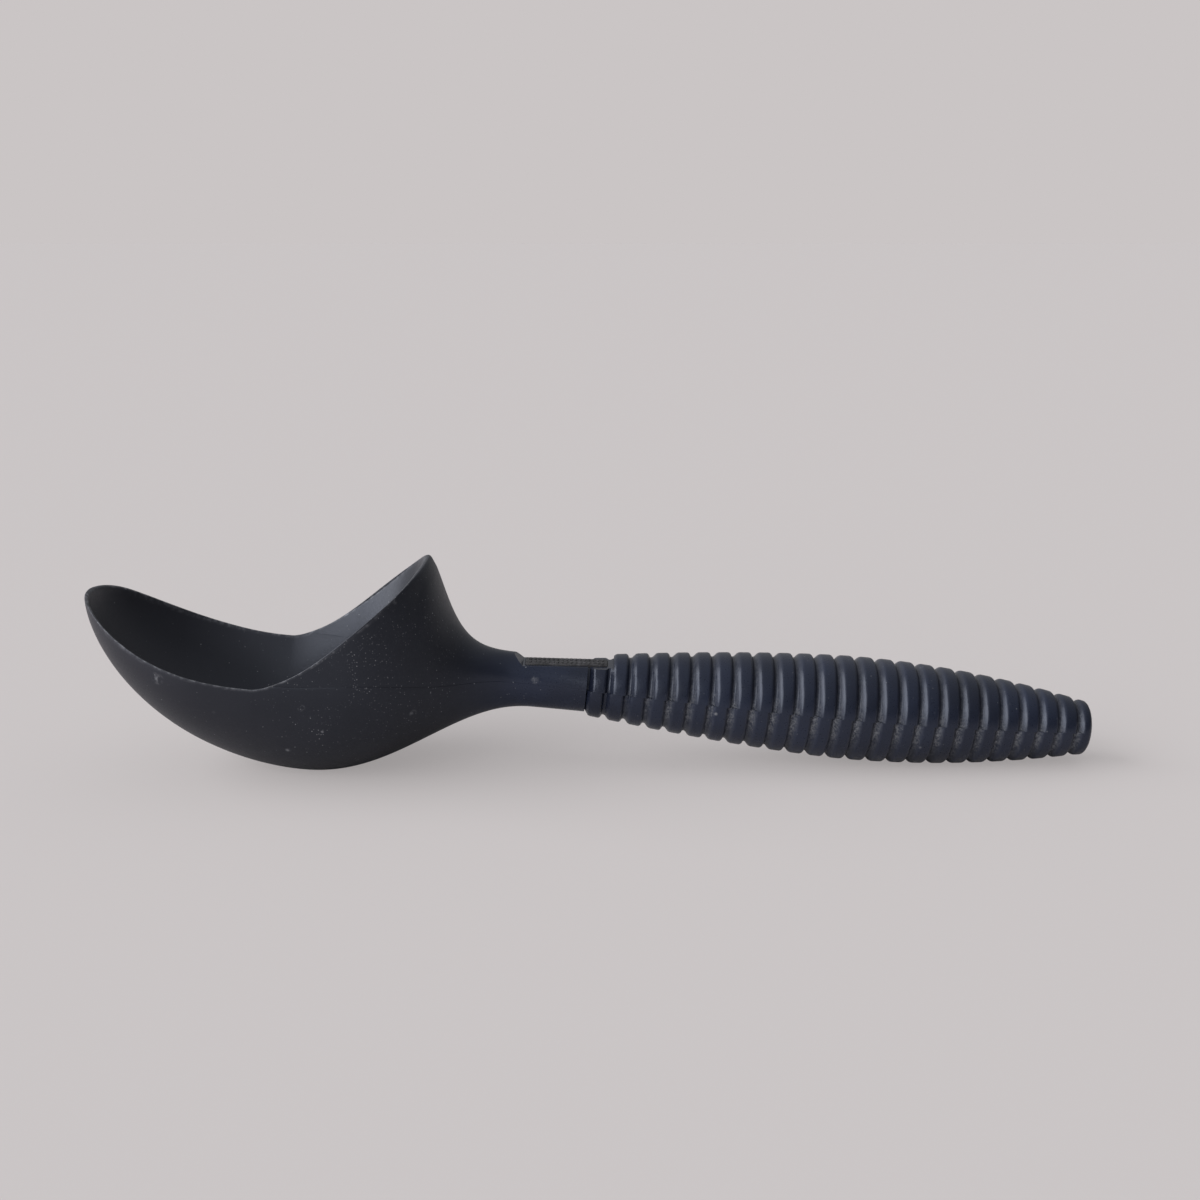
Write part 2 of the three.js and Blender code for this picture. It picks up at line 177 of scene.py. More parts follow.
# %% Inside curves
def cavity_half_width(x):
    nose = round_fall(share(NOSE_LENGTH - x, NOSE_LENGTH - RIM_EDGE), NOSE_POWER)
    heel = round_fall(share(x - HEEL_TURN_X, HEEL_ROUND_LENGTH - HEEL_EDGE), ARCH_POWER)
    front, back = (HALF_WIDTH - RIM_EDGE) * nose, (HALF_WIDTH - HEEL_EDGE) * heel
    soft = HEEL_EDGE - RIM_EDGE
    overlap = np.clip(soft - np.abs(front - back), 0, soft)
    return np.minimum(front, back) - overlap**2 / (4 * soft)


def cavity_floor(x):
    depth = KEEL_DEPTH - BASE_CUT - BOWL_WALL
    front = nose_fall(share(BASE_X - x, BASE_X - RIM_EDGE))
    back = round_fall(share(x - BASE_X, BOWL_LENGTH - HEEL_EDGE - BASE_X), 2)
    low = TIP_HEIGHT - (TIP_HEIGHT + depth) * front
    return np.where(x < BASE_X, low, HEEL_RISE - (HEEL_RISE + depth) * back)


for x in (0, 20, 40, 60):
    print("at", x, "rim height", rim_height(x).round(2), "and half width", plan_half_width(x).round(2))

# %% [markdown]
# ## Points on the bowl
# A bowl is easiest to cover with lines that fan out from its middle, as the meridians of a
# globe do, because the rim is then one clean row of points. Each line is a ray from a
# middle point on the seam, and halving the distance again and again finds the wall.

# %% Rays to the walls
CORNER_X = RIM_LOW_X + (BOWL_LENGTH - RIM_LOW_X) * (RIM_DIP / (HEEL_RISE + RIM_DIP)) ** (1 / HEEL_CLIMB)
HALVINGS = 42
LIP_SAMPLES = 11
LEAST_DEPTH = 0.01
LOWEST_RIM, HIGHEST_RIM = -0.6, 1.2


def in_bowl_outside(x, y, z):
    top, keel = widest_height(x), keel_height(x)
    depth = np.clip((top - z) / (top - keel), 0, 1)
    return (np.abs(y) < plan_half_width(x) * np.sqrt(1 - depth**2)) & (x > 0)


def in_cavity(x, y, z):
    around = np.linspace(-LIP_BLEND, LIP_BLEND, LIP_SAMPLES)
    lip = np.mean([rim_height(x + nearby) for nearby in around], axis=0) + RIM_FLARE
    floor = cavity_floor(x)
    depth = np.clip((lip - z) / np.maximum(lip - floor, LEAST_DEPTH), 0, 1)
    between_walls = np.abs(y) < cavity_half_width(x) * np.sqrt(1 - depth**2)
    return between_walls & (x > RIM_EDGE) & (z > floor)


def wall_points(inside, azimuth, elevation):
    azimuth, elevation = np.broadcast_arrays(azimuth, elevation)
    flat = np.cos(elevation)
    way = np.stack([np.cos(azimuth) * flat, np.sin(azimuth) * flat, np.sin(elevation)], -1)
    near, far = np.zeros(azimuth.shape), np.full(azimuth.shape, 2.0 * BOWL_LENGTH)
    for _ in range(HALVINGS):
        middle = (near + far) / 2
        point = way * middle[..., None]
        hit = inside(CORNER_X + point[..., 0], point[..., 1], point[..., 2])
        near, far = np.where(hit, middle, near), np.where(hit, far, middle)
    return way * near[..., None] + (CORNER_X, 0, 0)


def rim_elevation(inside, azimuth):
    low, high = np.full(azimuth.shape, LOWEST_RIM), np.full(azimuth.shape, HIGHEST_RIM)
    for _ in range(HALVINGS):
        middle = (low + high) / 2
        point = wall_points(inside, azimuth, middle)
        below = point[..., 2] < rim_height(point[..., 0])
        low, high = np.where(below, middle, low), np.where(below, high, middle)
    return low


print("the seam meets the rim at", round(CORNER_X, 2))

# %% [markdown]
# ## Sheets
# Each part of the skin starts as Blender's flat grid. Its columns are then laid on rows of
# points, as a sheet is draped over a form, which keeps clean four-sided faces everywhere.

# %% Draping a grid
NO_LENGTH = 1e-9


def draped_sheet(name, columns):
    across, along = len(columns) - 1, len(columns[0]) - 1
    bpy.ops.object.select_all(action="DESELECT")
    bpy.ops.mesh.primitive_grid_add(x_subdivisions=across, y_subdivisions=along, size=2)
    sheet = bpy.context.object
    sheet.name = name
    for vertex in sheet.data.vertices:
        column = round((vertex.co.x + 1) / 2 * across)
        row = round((vertex.co.y + 1) / 2 * along)
        vertex.co = columns[column][row]
    print(name, len(sheet.data.vertices), "points")
    return sheet


def rounded_corner(corner, before, after, radius):
    sides = [before - corner, after - corner]
    start, end = [corner + side / max(np.linalg.norm(side), NO_LENGTH) * radius for side in sides]
    return [start * (1 - t) ** 2 + corner * 2 * t * (1 - t) + end * t**2 for t in (0, 0.25, 0.5, 0.75, 1)]


# %% [markdown]
# ## Bowl of the lower moulding
# The front of the bowl is one sheet that runs from the middle of the floor up the inside,
# over the rim and down the outside to the keel. A scoop is thinned towards its rim so that it
# bites into the ice, and the rim's two corners are rounded, because a moulded edge is
# never sharp.

# %% Front of the bowl
FRONT_COLUMNS = 192
INSIDE_ROWS = 44
OUTSIDE_ROWS = 60
RIM_ROUND = 0.2
LIP_WIDTH = 0.5
LIP_REACH = 8
TIP_ROUND = 0.5
TIP_REACH = 5
BLEND_COLUMNS = 6


def steps(start, end, count):
    return start + (end - start) * np.linspace(0, 1, count + 1)[:, None]


def thin_lip(inner, edge, width):
    left = np.append(np.cumsum(np.linalg.norm(np.diff(inner, axis=0), axis=1)[::-1])[::-1], 0)
    gap = edge - inner[-1]
    shift = gap * max(1 - width / np.linalg.norm(gap), 0)
    return inner + np.clip(1 - left / LIP_REACH, 0, 1)[:, None] ** 2 * shift


front_azimuth = -np.pi / 2 - np.linspace(0, np.pi, FRONT_COLUMNS + 1)
inside_top = rim_elevation(in_cavity, front_azimuth)
outside_top = rim_elevation(in_bowl_outside, front_azimuth)
inside_top[[0, -1]] = 0
outside_top[[0, -1]] = 0
inside_rows = wall_points(in_cavity, front_azimuth, steps(-np.pi / 2, inside_top, INSIDE_ROWS))
outside_rows = wall_points(in_bowl_outside, front_azimuth, steps(outside_top, -np.pi / 2, OUTSIDE_ROWS))

front_columns = []
for k in range(FRONT_COLUMNS + 1):
    outer = outside_rows[:, k]
    near_tip = math.exp(-((outer[0][0] / TIP_REACH) ** 2))
    near_corner = min(1, k / BLEND_COLUMNS, (FRONT_COLUMNS - k) / BLEND_COLUMNS)
    inner = thin_lip(inside_rows[:, k], outer[0], LIP_WIDTH + TIP_ROUND * near_tip)
    radius = (RIM_ROUND + (TIP_ROUND - RIM_ROUND) * near_tip) * near_corner
    step = np.linalg.norm(inner[-1] - inner[-2])
    edge = rounded_corner(inner[-1], inner[-2], outer[0], min(radius, step))
    edge += rounded_corner(outer[0], inner[-1], outer[1], radius)
    front_columns.append([*inner[:-1], *edge, *outer[1:]])
bowl_front = draped_sheet("bowl_front", front_columns)

# %% [markdown]
# Behind the bowl's corners the outside runs on under the heel into the neck. Its sections
# are half ovals, so this sheet is laid section by section. Its last row is folded up flat
# to the seam and closes the end of the neck, which the handle will cover.

# %% Underside of the heel and neck
REAR_STATIONS = 84


def outside_point(x, turn):
    power = arch_power(x) if turn > 0 else 2
    top = float(widest_height(x))
    reach = float(crown_height(x)) - top if turn > 0 else top - float(keel_height(x))
    across, up = math.cos(turn), math.sin(turn)
    y = -float(plan_half_width(x)) * math.copysign(abs(across) ** (2 / power), across)
    return np.array((x, y, top + reach * math.copysign(abs(up) ** (2 / power), up)))


corner_section = np.vstack([outside_rows[:, 0], outside_rows[-2::-1, -1]])
keel_drop, half_width = -float(keel_height(CORNER_X)), float(plan_half_width(CORNER_X))
section_turns = [-math.atan2(max(-z, 0) / keel_drop, -y / half_width) for _, y, z in corner_section]
rear_x = np.linspace(CORNER_X, HEAD_END, REAR_STATIONS + 1)
underside_columns = []
for turn in section_turns:
    column = [outside_point(x, turn) for x in rear_x]
    underside_columns.append(column + [np.array((HEAD_END, column[-1][1], 0))])
neck_underside = draped_sheet("neck_underside", underside_columns)

# %% [markdown]
# ## Heel of the upper moulding
# The heel is an arch that leans back from the rim and runs out into the neck. Its columns
# start on the seam inside the bowl, climb the inner wall, cross the rim and follow the back
# down to the neck. The points along the rim lie closer together near the peak.

# %% Heel and top of the neck
HEEL_COLUMNS = 56
HEEL_INSIDE_ROWS = 26
HEEL_OUTSIDE_ROWS = 90
PEAK_ROUND = 1.2
PEAK_REACH = 2.5
ROUND_SPREAD = 1.5
STEP_SHARE = 0.8
LEAST_TURN = 1e-6

rim_x = CORNER_X + (BOWL_LENGTH - CORNER_X) * np.sin(np.pi / 2 * np.linspace(0, 1, HEEL_COLUMNS + 1))
near_turns = []
for x in rim_x:
    height = max(float(rim_height(x) / crown_height(x)), 0)
    near_turns.append(math.asin(min(height ** (arch_power(x) / 2), 1)))
heel_turns = near_turns + [math.pi - turn for turn in near_turns[-2::-1]]
heel_x = [*rim_x, *rim_x[-2::-1]]
heel_rim = np.array([outside_point(x, max(turn, LEAST_TURN)) for x, turn in zip(heel_x, heel_turns)])
heel_azimuth = np.arctan2(heel_rim[:, 1], heel_rim[:, 0] - CORNER_X)
heel_top = np.maximum(rim_elevation(in_cavity, heel_azimuth), 0)
heel_top[[0, -1]] = 0
heel_wall = wall_points(in_cavity, heel_azimuth, steps(0 * heel_top, heel_top, HEEL_INSIDE_ROWS))
rear_floor = wall_points(in_cavity, heel_azimuth, steps(-np.pi / 2, 0 * heel_top, INSIDE_ROWS))

heel_columns, back_columns = [], []
for k, turn in enumerate(heel_turns):
    near_corner = min(1, k / BLEND_COLUMNS, (2 * HEEL_COLUMNS - k) / BLEND_COLUMNS)
    near_peak = math.exp(-(((BOWL_LENGTH - heel_x[k]) / PEAK_REACH) ** 2))
    whole = np.vstack([rear_floor[:, k], heel_wall[1:, k]])
    whole = thin_lip(whole, heel_rim[k], LIP_WIDTH + PEAK_ROUND * near_peak)
    whole[INSIDE_ROWS, 2] = 0
    back_columns.append(whole[: INSIDE_ROWS + 1])
    inner = whole[INSIDE_ROWS:]
    radius = near_corner * (RIM_ROUND + (PEAK_ROUND - RIM_ROUND) * near_peak)
    start = heel_x[k] + ROUND_SPREAD * radius
    stations = [heel_x[k], *np.linspace(start, HEAD_END, HEEL_OUTSIDE_ROWS + 1)]
    outer = [outside_point(x, max(turn, LEAST_TURN)) for x in stations]
    step = np.linalg.norm(inner[-1] - inner[-2])
    edge = rounded_corner(inner[-1], inner[-2], outer[0], near_corner * min(RIM_ROUND, STEP_SHARE * step))
    edge += rounded_corner(outer[0], inner[-1], outer[1], radius)
    column = [*inner[:-1], *edge, *outer[1:]]
    heel_columns.append(column + [np.array((HEAD_END, column[-1][1], 0))])
heel_sheet = draped_sheet("heel_and_neck", heel_columns)

# %% Inside of the bowl behind the seam's corners
bowl_back = draped_sheet("bowl_back", back_columns)

# %% [markdown]
# ## Closing the mouldings
# Sheets that share an edge are joined and their double points merged. What is still open
# is one flat loop on the seam, so a single face closes it, and the normals are then turned
# outwards.

# %% Join, merge and close
SAME_POINT = 0.002


def select_only(*objects):
    bpy.ops.object.select_all(action="DESELECT")
    for item in objects:
        item.select_set(True)
    bpy.context.view_layer.objects.active = objects[0]


def edit_whole(item):
    select_only(item)
    bpy.ops.object.mode_set(mode="EDIT")
    bpy.ops.mesh.select_all(action="SELECT")


def close_shell(name, *sheets):
    select_only(*sheets)
    if len(sheets) > 1:
        bpy.ops.object.join()
    shell = bpy.context.object
    shell.name = name
    bpy.ops.object.mode_set(mode="EDIT")
    bpy.ops.mesh.select_mode(type="EDGE")
    bpy.ops.mesh.select_all(action="SELECT")
    bpy.ops.mesh.remove_doubles(threshold=SAME_POINT)
    bpy.ops.mesh.dissolve_degenerate(threshold=SAME_POINT)
    bpy.ops.mesh.select_all(action="DESELECT")
    bpy.ops.mesh.select_non_manifold(
        use_wire=False, use_boundary=True, use_multi_face=False, use_non_contiguous=False, use_verts=False
    )
    bpy.ops.mesh.edge_face_add()
    bpy.ops.mesh.select_all(action="SELECT")
    bpy.ops.mesh.normals_make_consistent(inside=False)
    bpy.ops.object.mode_set(mode="OBJECT")
    return shell


def edge_uses(polygons):
    uses = {}
    for polygon in polygons:
        for key in polygon.edge_keys:
            uses[key] = uses.get(key, 0) + 1
    return uses


def tell(*items):
    for item in items:
        open_edges = sum(1 for count in edge_uses(item.data.polygons).values() if count != 2)
        print(item.name, len(item.data.polygons), "faces,", open_edges, "open edges")


lower_head = close_shell("lower_head", bowl_front, neck_underside, bowl_back)
upper_head = close_shell("upper_head", heel_sheet)
tell(lower_head, upper_head)

# %% [markdown]
# ## Ribbed handle
# The handle is round, so it is turned as on a lathe: one point is extruded along the
# outline, the outline's corners are bevelled to round the ribs' shoulders, and it is spun
# about the handle's axis. The ribs of the two halves don't quite line up on the real
# handle, so each half is spun from its own outline and cut along the seam.

# %% Outline of the ribs
RIB_COUNT = 25
RIB_PITCH = 4.26
RIB_STAGGER = 0.5
GROOVE_DEPTH = 0.9
GROOVE_SPREAD = 0.1
FIRST_DEPTH = 1.25
GRIP_FRONT_RADIUS = 6.3
BELLY_RADIUS = 10.85
BELLY_X = 55.6
BELLY_POWER = 1.55
BUTT_RIB = 3.07
BUTT_RADIUS = 5.45
BUTT_DOME = 1.3
BUTT_FACE_RADIUS = 3
DOME_STEPS = 6
GRIP_LENGTH = (RIB_COUNT - 1) * RIB_PITCH + BUTT_RIB
BUTT_X = GRIP_START + GRIP_LENGTH
ROOT_X = HEAD_END - 7
ROOT_RADIUS = 3
RISING_FLANK = 0.9
RISING_ROUND = 0.36
FALLING_ROUND = 0.36
FLOOR_ROUND = 0.2


def grip_radius(x):
    ahead = share(GRIP_START + BELLY_X - x, BELLY_X)
    behind = share(x - GRIP_START - BELLY_X, GRIP_LENGTH - BELLY_X)
    front = (BELLY_RADIUS - GRIP_FRONT_RADIUS) * ahead**BELLY_POWER
    return float(BELLY_RADIUS - front - (BELLY_RADIUS - BUTT_RADIUS) * behind**2)


def rib_outline():
    points = [(ROOT_X, 0), (ROOT_X, ROOT_RADIUS)]
    for rib in range(RIB_COUNT):
        middle = GRIP_START + rib * RIB_PITCH
        start, end = middle - GROOVE_WIDTH / 2, middle + GROOVE_WIDTH / 2 + GROOVE_SPREAD
        floor = GROOVE_DEPTH if rib else FIRST_DEPTH
        marks = [(start, 0), (start + GROOVE_FLANK, floor), (end - RISING_FLANK, floor), (end, 0)]
        for x, depth in marks if rib else marks[1:]:
            points.append((x, grip_radius(x) - depth))
    rim = BUTT_X - BUTT_DOME
    for step in range(DOME_STEPS + 1):
        turn = math.pi / 2 * step / DOME_STEPS
        out = BUTT_FACE_RADIUS + (grip_radius(rim) - BUTT_FACE_RADIUS) * math.cos(turn)
        points.append((rim + BUTT_DOME * math.sin(turn), out))
    return points + [(BUTT_X, 0)]


print("outline with", len(rib_outline()), "points, grip", round(GRIP_LENGTH, 2), "mm long")


# %% Turning one half of the handle
SPIN_STEPS = 96
ROUND_STEPS = 4
PLAY = 0.01
ON_OUTLINE = 0.001


def round_ribs(handle, shift, depth, radius, rising_sides):
    bpy.ops.mesh.select_all(action="DESELECT")
    bpy.ops.object.mode_set(mode="OBJECT")
    for vertex in handle.data.vertices:
        x = vertex.co.x + shift
        on_rib = HEAD_END - PLAY < x < BUTT_X - BUTT_DOME - PLAY
        rising = (x - GRIP_START + RIB_PITCH / 2) % RIB_PITCH > RIB_PITCH / 2
        at_depth = abs(vertex.co.z + AXIS_DROP - grip_radius(x) + depth) < ON_OUTLINE
        vertex.select = on_rib and at_depth and rising in rising_sides
    bpy.ops.object.mode_set(mode="EDIT")
    bpy.ops.mesh.bevel(offset=radius, segments=ROUND_STEPS, affect="VERTICES")


def turned_handle(name, shift, keep_upper):
    outline = []
    for x, radius in rib_outline():
        on_ribs = ROOT_X < x < BUTT_X - BUTT_DOME
        outline.append(Vector((x - shift if on_ribs else x, 0, radius - AXIS_DROP)))
    bpy.ops.object.select_all(action="DESELECT")
    bpy.ops.mesh.primitive_plane_add(size=1)
    handle = bpy.context.object
    handle.name = name
    bpy.ops.object.mode_set(mode="EDIT")
    bpy.ops.mesh.select_mode(type="VERT")
    bpy.ops.mesh.select_all(action="SELECT")
    bpy.ops.mesh.merge(type="CENTER")
    bpy.ops.transform.translate(value=outline[0])
    for last, point in zip(outline, outline[1:]):
        bpy.ops.mesh.extrude_region_move(TRANSFORM_OT_translate={"value": point - last})
    round_ribs(handle, shift, 0, FALLING_ROUND, (False,))
    round_ribs(handle, shift, 0, RISING_ROUND, (True,))
    round_ribs(handle, shift, GROOVE_DEPTH, FLOOR_ROUND, (False, True))
    bpy.ops.mesh.select_all(action="SELECT")
    bpy.ops.mesh.spin(steps=SPIN_STEPS, angle=2 * math.pi, center=(0, 0, -AXIS_DROP), axis=(1, 0, 0))
    bpy.ops.mesh.select_all(action="SELECT")
    bpy.ops.mesh.remove_doubles(threshold=SAME_POINT)
    bpy.ops.mesh.normals_make_consistent(inside=False)
    bpy.ops.mesh.select_all(action="SELECT")
    seam = {"plane_co": (0, 0, 0), "plane_no": (0, 0, 1)}
    bpy.ops.mesh.bisect(**seam, use_fill=True, clear_inner=keep_upper, clear_outer=not keep_upper)
    bpy.ops.object.mode_set(mode="OBJECT")
    tell(handle)
    return handle


lower_handle = turned_handle("lower_handle", RIB_STAGGER, False)
upper_handle = turned_handle("upper_handle", 0, True)

# %% [markdown]
# ## Neck to handle
# Head and handle are one moulding, so a Boolean modifier joins them. Another takes the flat
# land and the label's shallow pocket out of the top of the neck.

# %% Joining and cutting
LAND_LENGTH = 19.8
LAND_HEIGHT = 3.35
LAND_SLOPE = 0.06
LAND_TURN = -math.atan(LAND_SLOPE)
LAND_SHIFT = 0.7
LAND_X = GRIP_START + RIB_PITCH + LAND_SHIFT - LAND_LENGTH / 2
LAND_Z = LAND_HEIGHT + LAND_SLOPE * LAND_LENGTH / 2
LAND_DEPTH = 10
LAND_RAMP = 0.9
LAND_CUT_WIDTH = 30
LABEL_LENGTH = 17
LABEL_WIDTH = 4.6
LABEL_THICKNESS = 0.6
LABEL_RAISE = 0.3
POCKET_PLAY = 0.1
POCKET_TOP = 1


def combine(body, tool, operation):
    select_only(body)
    modifier = body.modifiers.new("combine", "BOOLEAN")
    modifier.operation = operation
    modifier.object = tool
    modifier.solver = "EXACT"
    bpy.ops.object.modifier_apply(modifier=modifier.name)
    bpy.data.objects.remove(tool)
    edit_whole(body)
    bpy.ops.mesh.remove_doubles(threshold=SAME_POINT / 4)
    bpy.ops.object.mode_set(mode="OBJECT")


def land_block(length, width, low, high):
    bpy.ops.object.select_all(action="DESELECT")
    middle = (0, 0, (low + high) / 2)
    bpy.ops.mesh.primitive_cube_add(size=1, location=middle, scale=(length, width, high - low))
    bpy.ops.object.transform_apply(location=True, rotation=False, scale=True)
    block = bpy.context.object
    block.rotation_euler.y = LAND_TURN
    block.location = (LAND_X, 0, LAND_Z)
    bpy.ops.object.transform_apply(location=True, rotation=True, scale=False)
    return block


combine(lower_head, lower_handle, "UNION")
combine(upper_head, upper_handle, "UNION")
land_cutter = land_block(LAND_LENGTH, LAND_CUT_WIDTH, 0, LAND_DEPTH)
for vertex in land_cutter.data.vertices:
    if vertex.co.x < LAND_X:
        vertex.co.x += LAND_RAMP if vertex.co.z < LAND_Z + LAND_DEPTH / 2 else LAND_RAMP - LAND_DEPTH
combine(upper_head, land_cutter, "DIFFERENCE")
pocket_size = (LABEL_LENGTH + 2 * POCKET_PLAY, LABEL_WIDTH + 2 * POCKET_PLAY)
pocket_cutter = land_block(*pocket_size, -LABEL_THICKNESS - POCKET_PLAY, POCKET_TOP)
combine(upper_head, pocket_cutter, "DIFFERENCE")
tell(lower_head, upper_head)

# %% [markdown]
# ## Seam line
# Where two mouldings meet, their edges are slightly rounded and a hair line shows. The
# outer edges of both flat seam faces get a small bevel. Inside the bowl the joint is
# flush and polished, so it is left alone.

# %% Rounding the seam's outer edges
SEAM_ROUND = 0.06
SEAM_END = HEAD_END - 1
SEAM_FLAT = 0.99
SEAM_NEAR = 0.01
OUTER_BAND = 0.4


def round_seam(moulding):
    mesh = moulding.data
    on_seam = [p for p in mesh.polygons if abs(p.normal.z) > SEAM_FLAT and abs(p.center.z) < SEAM_NEAR]
    uses = edge_uses(on_seam)
    select_only(moulding)
    bpy.ops.object.mode_set(mode="EDIT")
    bpy.ops.mesh.select_mode(type="EDGE")
    bpy.ops.mesh.select_all(action="DESELECT")
    bpy.ops.object.mode_set(mode="OBJECT")
    picked = 0
    for edge in mesh.edges:
        middle = (mesh.vertices[edge.vertices[0]].co + mesh.vertices[edge.vertices[1]].co) / 2
        outer = middle.x > BOWL_LENGTH or abs(middle.y) > float(plan_half_width(middle.x)) - OUTER_BAND
        if uses.get(edge.key) == 1 and outer and middle.x < SEAM_END:
            edge.select = True
            picked += 1
    bpy.ops.object.mode_set(mode="EDIT")
    bpy.ops.mesh.bevel(offset=SEAM_ROUND, segments=2, affect="EDGES", clamp_overlap=False)
    bpy.ops.object.mode_set(mode="OBJECT")
    print(moulding.name, picked, "seam edges rounded")
    tell(moulding)


round_seam(lower_head)
round_seam(upper_head)

# %% [markdown]
# Seen from the side, the real seam runs straight across the heel instead of bowing with
# its flat cut. The points near it are slid along the heel's own surface, which moves the
# line and leaves the shape as it is. The hidden flat faces between the mouldings are first
# split into even triangles, because a thin sliver would tip out of the wall when its points move.

# %% Sliding the seam on the heel
SEAM_LIFT = 1.3
SEAM_LIFT_START = 44.5
SEAM_LIFT_LENGTH = 34.5
SLIDE_REACH = 0.7
ON_SKIN = 0.3


def split_seam_faces(moulding):
    select_only(moulding)
    bpy.ops.object.mode_set(mode="EDIT")
    bpy.ops.mesh.select_mode(type="FACE")
    bpy.ops.mesh.select_all(action="DESELECT")
    bpy.ops.object.mode_set(mode="OBJECT")
    for polygon in moulding.data.polygons:
        on_seam = abs(polygon.normal.z) > SEAM_FLAT and abs(polygon.center.z) < SEAM_NEAR
        polygon.select = on_seam and polygon.center.x < WAIST_END
    bpy.ops.object.mode_set(mode="EDIT")
    bpy.ops.mesh.quads_convert_to_tris(quad_method="BEAUTY", ngon_method="BEAUTY")
    bpy.ops.object.mode_set(mode="OBJECT")


def slide_seam(moulding):
    moved = 0
    for vertex in moulding.data.vertices:
        x, y, z = vertex.co
        if not SEAM_LIFT_START < x < SEAM_LIFT_START + SEAM_LIFT_LENGTH:
            continue
        power = arch_power(x) if z > 0 else 2
        height = z / float(crown_height(x)) if z > 0 else z / float(keel_height(x))
        turn = math.copysign(math.asin(min(height, 1) ** (power / 2)), z)
        before = outside_point(x, turn if turn else LEAST_TURN)
        if abs(turn) > SLIDE_REACH or abs(abs(y) + before[1]) > ON_SKIN:
            continue
        lift = SEAM_LIFT * math.sin(math.pi * (x - SEAM_LIFT_START) / SEAM_LIFT_LENGTH) ** 2
        slide = math.asin((lift / float(crown_height(x))) ** (arch_power(x) / 2))
        after = outside_point(x, turn + slide * math.cos(turn / SLIDE_REACH * math.pi / 2) ** 2)
        vertex.co.y -= math.copysign(after[1] - before[1], y)
        vertex.co.z += after[2] - before[2]
        moved += 1
    print(moulding.name, moved, "points slid")


for moulding in (lower_head, upper_head):
    split_seam_faces(moulding)
    slide_seam(moulding)

# %% [markdown]
# ## Label plate
# A thin plate lies in the flat on top of the neck. A cube of its size gets bevelled edges,
# and one small bar, copied into two rows, gives it plain tick marks.

# %% Plate and tick marks
PLATE_BEVEL = 0.1
TICK_BEVEL = 0.05
TICK_LENGTH = 0.55
TICK_WIDTH = 1.2
TICK_HEIGHT = 0.5
TICK_PITCH = 0.94
TICK_ROW_Y = 1.05
TICKS_EACH_WAY = 8


def bevel_edges(item, width):
    edit_whole(item)
    bpy.ops.mesh.bevel(offset=width, segments=2, affect="EDGES")
    bpy.ops.object.mode_set(mode="OBJECT")


plate = land_block(LABEL_LENGTH, LABEL_WIDTH, -LABEL_THICKNESS, LABEL_RAISE)
plate.name = "label"
bevel_edges(plate, PLATE_BEVEL)
bpy.ops.object.select_all(action="DESELECT")
bpy.ops.mesh.primitive_cube_add(size=1, scale=(TICK_LENGTH, TICK_WIDTH, 2 * TICK_HEIGHT))
tick = bpy.context.object
bpy.ops.object.transform_apply(location=False, rotation=False, scale=True)
bevel_edges(tick, TICK_BEVEL)

# %% Rows of ticks
ticks = []
place = Matrix.Translation((LAND_X, 0, LAND_Z)) @ Matrix.Rotation(LAND_TURN, 4, "Y")
for side in (-1, 1):
    for step in range(-TICKS_EACH_WAY, TICKS_EACH_WAY + 1):
        copy = tick.copy()
        copy.data = tick.data.copy()
        scene.collection.objects.link(copy)
        copy.data.transform(place @ Matrix.Translation((step * TICK_PITCH, side * TICK_ROW_Y, 0)))
        ticks.append(copy)
bpy.data.objects.remove(tick)
select_only(plate, *ticks)
bpy.ops.object.join()
print("label plate with", len(ticks), "tick marks")

# %% [markdown]
# ## At rest
# So far everything lay in the mould's own frame. On a table the scoop tips a little, onto
# the bowl's base and the handle's belly. The pieces are turned and moved there, by the same
# amounts as the CAD part, brought from millimetres to metres, and the bowl's base is cut
# flat where it stands.

# %% Tipping, scaling and cutting the base
TILT = math.radians(5.154606)
REST_X = -105.103482
REST_Z = 26.541044
CUT_TOLERANCE = 1e-7
SMOOTH_ANGLE = math.radians(28)
to_rest = Matrix.Scale(MM, 4) @ Matrix.Translation((REST_X, 0, REST_Z)) @ Matrix.Rotation(TILT, 4, "Y")
for piece in (lower_head, upper_head, plate):
    piece.data.transform(to_rest)
lower_head.name = "lower_moulding_shell"
upper_head.name = "upper_moulding_shell"

edit_whole(lower_head)
bpy.ops.mesh.bisect(
    plane_co=(0, 0, 0), plane_no=(0, 0, 1), use_fill=True, clear_inner=True, threshold=CUT_TOLERANCE
)
bpy.ops.object.mode_set(mode="OBJECT")
for piece in (lower_head, upper_head, plate):
    select_only(piece)
    bpy.ops.object.shade_smooth_by_angle(angle=SMOOTH_ANGLE)
    tell(piece)

# %% [markdown]
# ## Where wear and a painted edge highlight show
# Four attributes tell the finish where it is: inside the bowl, on the rim's edge, where worn
# nicks and a painted edge highlight go, down in the grooves, where pale dust gathers most near
# the seam, and along the handle. They are worked out for each point from the same curves.

# %% Wear and painted highlight attributes
to_mould = to_rest.inverted()
BOWL_MIDDLE = (CORNER_X, 0, 2)
RIM_WEAR_AND_GLINT_BAND = 0.3
RIM_MARK_END = BOWL_LENGTH + 0.5
PEAK_FADE_X = 56
PEAK_FADE_LENGTH = 8
PEAK_FADE_SHARE = 0.6
DUST_START = GRIP_START + 4
DUST_LENGTH = 14
DUST_LEAST = 0.22
DUST_Z = -1.9
DUST_SPREAD = 3.2
BLUE_START = 72
BLUE_LENGTH = 20


